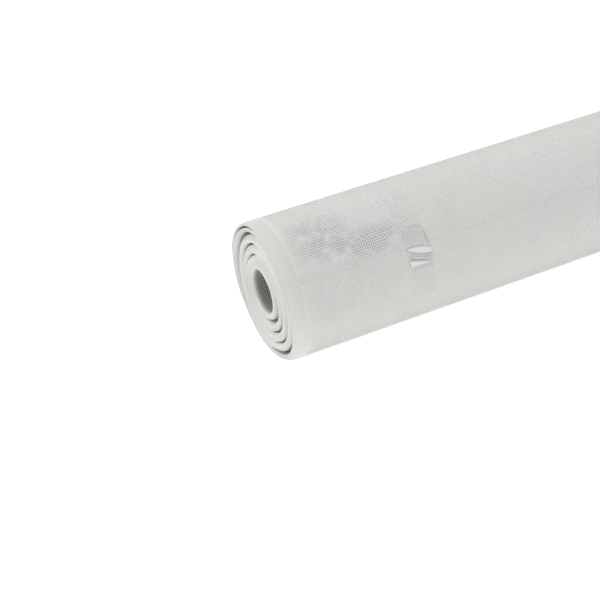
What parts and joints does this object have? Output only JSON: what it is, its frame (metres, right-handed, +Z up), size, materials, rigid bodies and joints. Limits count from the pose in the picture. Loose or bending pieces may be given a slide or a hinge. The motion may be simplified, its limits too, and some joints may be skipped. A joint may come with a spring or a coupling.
{
  "type": "insect screen roll",
  "caption": "Roll of white fiberglass insect screen wound without a core tube, its turns showing on both ends, held shut by a short strip of clear tape.",
  "frame": {"origin": "on the floor, under the middle of the lying roll", "axes": "+X along the roll's axis, away from the taped end; +Y away from the taped side; +Z up"},
  "size_m": [1, 0.0863, 0.0863],
  "materials": {
    "screen": "matt white PVC-coated fiberglass weave",
    "tape": "clear glossy film"
  },
  "bodies": {
    "root": {"screen_roll": "screen", "tape_strip": "tape"}
  },
  "joints": []
}
